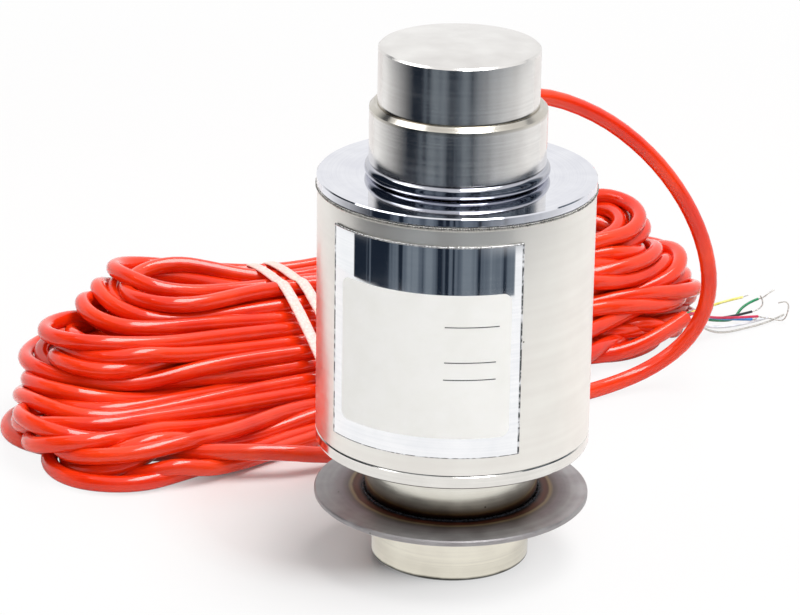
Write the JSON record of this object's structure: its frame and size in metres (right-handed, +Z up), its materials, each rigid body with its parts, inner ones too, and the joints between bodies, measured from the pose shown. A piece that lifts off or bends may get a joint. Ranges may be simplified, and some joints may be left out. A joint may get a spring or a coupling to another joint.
{
  "type": "column load cell",
  "caption": "Rocker column load cell: steel column with domed ends in a round sealed housing, retaining plate on the foot, and signal cable tied in a hank.",
  "frame": {"origin": "point on the column's axis where the lower dome stands on the floor", "axes": "+Z up along the column's axis, -Y to the nameplate's side, +Y to the cable gland"},
  "size_m": [0.2515, 0.2533, 0.15],
  "materials": {
    "ground_steel": "ground",
    "housing_steel": "fine brushed",
    "polished_steel": "mirror polished",
    "plate_steel": "dull, scratched",
    "weld_oxide": "oxidised weld bead",
    "label_film": "satin",
    "gauge_foil": "satin",
    "lead_enamel": "gloss",
    "board_laminate": "satin",
    "brass": "machined",
    "zinc_steel": "zinc plated",
    "chip_black": "matt",
    "terminal_green": "satin",
    "cable_jacket": "gloss",
    "nickel_brass": "nickel plated",
    "black_rubber": "matt",
    "tie_elastic": "satin",
    "core_yellow": "gloss",
    "core_green": "gloss",
    "core_black": "gloss",
    "core_red": "gloss",
    "core_blue": "gloss",
    "core_white": "gloss",
    "tinned_copper": "tinned"
  },
  "bodies": {
    "root": {"adc_chip": "chip_black", "board_screw_1": "zinc_steel", "board_screw_2": "zinc_steel", "board_screw_3": "zinc_steel", "board_standoff_1": "brass", "board_standoff_2": "brass", "board_standoff_3": "brass", "bottom_cover": "polished_steel", "cable_hank": "cable_jacket", "cable_lead": "cable_jacket", "cable_tail": "cable_jacket", "circuit_board": "board_laminate", "core_black": "core_black", "core_blue": "core_blue", "core_green": "core_green", "core_red": "core_red", "core_white": "core_white", "core_yellow": "core_yellow", "drain_wire": "tinned_copper", "gauge_lead_back": "lead_enamel", "gauge_lead_front": "lead_enamel", "gauge_lead_left": "lead_enamel", "gauge_lead_right": "lead_enamel", "gland_body": "nickel_brass", "gland_boss": "housing_steel", "gland_nut": "nickel_brass", "gland_oring": "black_rubber", "gland_seal": "black_rubber", "hank_tie": "tie_elastic", "inner_cable": "cable_jacket", "label": "label_film", "load_column": "ground_steel", "nameplate": "polished_steel", "outer_sleeve": "housing_steel", "plate_weld": "weld_oxide", "processor_chip": "chip_black", "retaining_plate": "plate_steel", "strain_gauge_back": "gauge_foil", "strain_gauge_front": "gauge_foil", "strain_gauge_left": "gauge_foil", "strain_gauge_right": "gauge_foil", "terminal_block": "terminal_green", "top_cover": "polished_steel", "upper_bellows": "polished_steel"}
  },
  "joints": []
}
